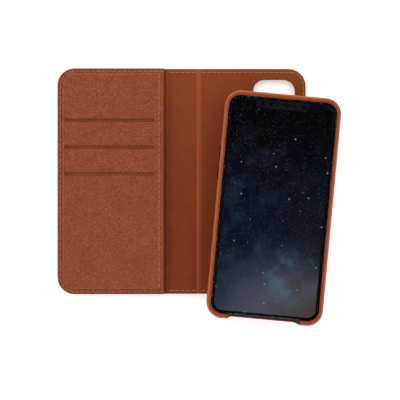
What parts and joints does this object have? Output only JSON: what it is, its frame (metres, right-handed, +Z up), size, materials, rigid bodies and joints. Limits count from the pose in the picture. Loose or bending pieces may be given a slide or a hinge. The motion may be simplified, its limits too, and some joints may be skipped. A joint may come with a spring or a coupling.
{
  "type": "phone wallet case",
  "caption": "Leather phone wallet: a folding folio with card pockets and a camera window, and a removable leather-wrapped inner case that holds a display dummy phone.",
  "frame": {"origin": "centre of the back panel's outer face, the face it rests on", "axes": "+X from the folds towards the back panel's free edge, +Y towards the top edge with the camera window, +Z up out of the lining"},
  "size_m": [0.1884, 0.1712, 0.0133],
  "materials": {
    "outer_leather": "pebbled grain, satin",
    "lining_leather": "smooth, matt",
    "case_leather": "smooth, satin",
    "thread": "waxed thread",
    "board": "fibreboard",
    "magnet": "nickel plate",
    "pocket_fabric": "fine woven lining",
    "shell": "fine matt texture",
    "microfibre": "brushed microfibre",
    "steel": "rolled sheet",
    "black_metal": "black anodised satin",
    "ballast": "sawn block",
    "black_glass": "polished, backed in black",
    "front_glass": "polished",
    "display": "lit night-sky wallpaper",
    "contact_metal": "gold flash"
  },
  "bodies": {
    "back_panel": {"back_outer_leather": "outer_leather", "back_board": "board", "docking_magnets": "magnet", "back_lining": "lining_leather", "back_stitching": "thread", "back_fold_strip": "lining_leather"},
    "spine": {"spine_outer_leather": "outer_leather", "spine_board": "board", "spine_lining": "lining_leather", "spine_stitching": "thread", "front_fold_strip": "lining_leather"},
    "front_cover": {"front_outer_leather": "outer_leather", "front_board": "board", "front_lining": "lining_leather", "front_stitching": "thread", "pocket_panel": "outer_leather", "note_pocket_backing": "pocket_fabric", "pocket_liner_top": "pocket_fabric", "pocket_liner_middle": "pocket_fabric", "pocket_liner_bottom": "pocket_fabric", "pocket_seam_stitching": "thread"},
    "inner_case": {"case_shell": "shell", "case_wrap": "case_leather", "case_microfibre": "microfibre", "case_steel_plate": "steel"},
    "volume_up": {"volume_up_key": "black_metal"},
    "volume_down": {"volume_down_key": "black_metal"},
    "power": {"power_key": "black_metal"},
    "phone": {"phone_frame": "black_metal", "phone_ballast": "ballast", "phone_back_glass": "black_glass", "phone_display": "display", "phone_sensor_bar": "black_metal", "phone_front_glass": "front_glass", "phone_side_keys": "black_metal", "phone_camera_bump": "black_metal", "phone_camera_lenses": "black_glass", "phone_port_tongue": "contact_metal"}
  },
  "joints": [
    {"name": "spine_fold", "type": "hinge", "parent": "back_panel", "child": "spine", "pos_m": [-0.0361, 0, 0.0012], "axis": [0, -1, 0], "range_deg": [-90, 90], "deforming": ["back_fold_strip"]},
    {"name": "cover_fold", "type": "hinge", "parent": "spine", "child": "front_cover", "pos_m": [-0.0579, 0, 0.0012], "axis": [0, -1, 0], "range_deg": [-90, 90], "deforming": ["front_fold_strip"]},
    {"name": "case_lift", "type": "slide", "parent": "back_panel", "child": "inner_case", "axis": [0, 0, 1], "range_m": [0, 0.05]},
    {"name": "phone_lift", "type": "slide", "parent": "inner_case", "child": "phone", "axis": [0, 0, 1], "range_m": [0, 0.03]},
    {"name": "volume_up_press", "type": "slide", "parent": "inner_case", "child": "volume_up", "axis": [0.9957, -0.0924, 0], "range_m": [0, 0.00035], "stiffness_N_per_m": 2000, "springref_m": -0.0003},
    {"name": "volume_down_press", "type": "slide", "parent": "inner_case", "child": "volume_down", "axis": [0.9957, -0.0924, 0], "range_m": [0, 0.00035], "stiffness_N_per_m": 2000, "springref_m": -0.0003},
    {"name": "power_press", "type": "slide", "parent": "inner_case", "child": "power", "axis": [-0.9957, 0.0924, 0], "range_m": [0, 0.00035], "stiffness_N_per_m": 2000, "springref_m": -0.0003}
  ]
}
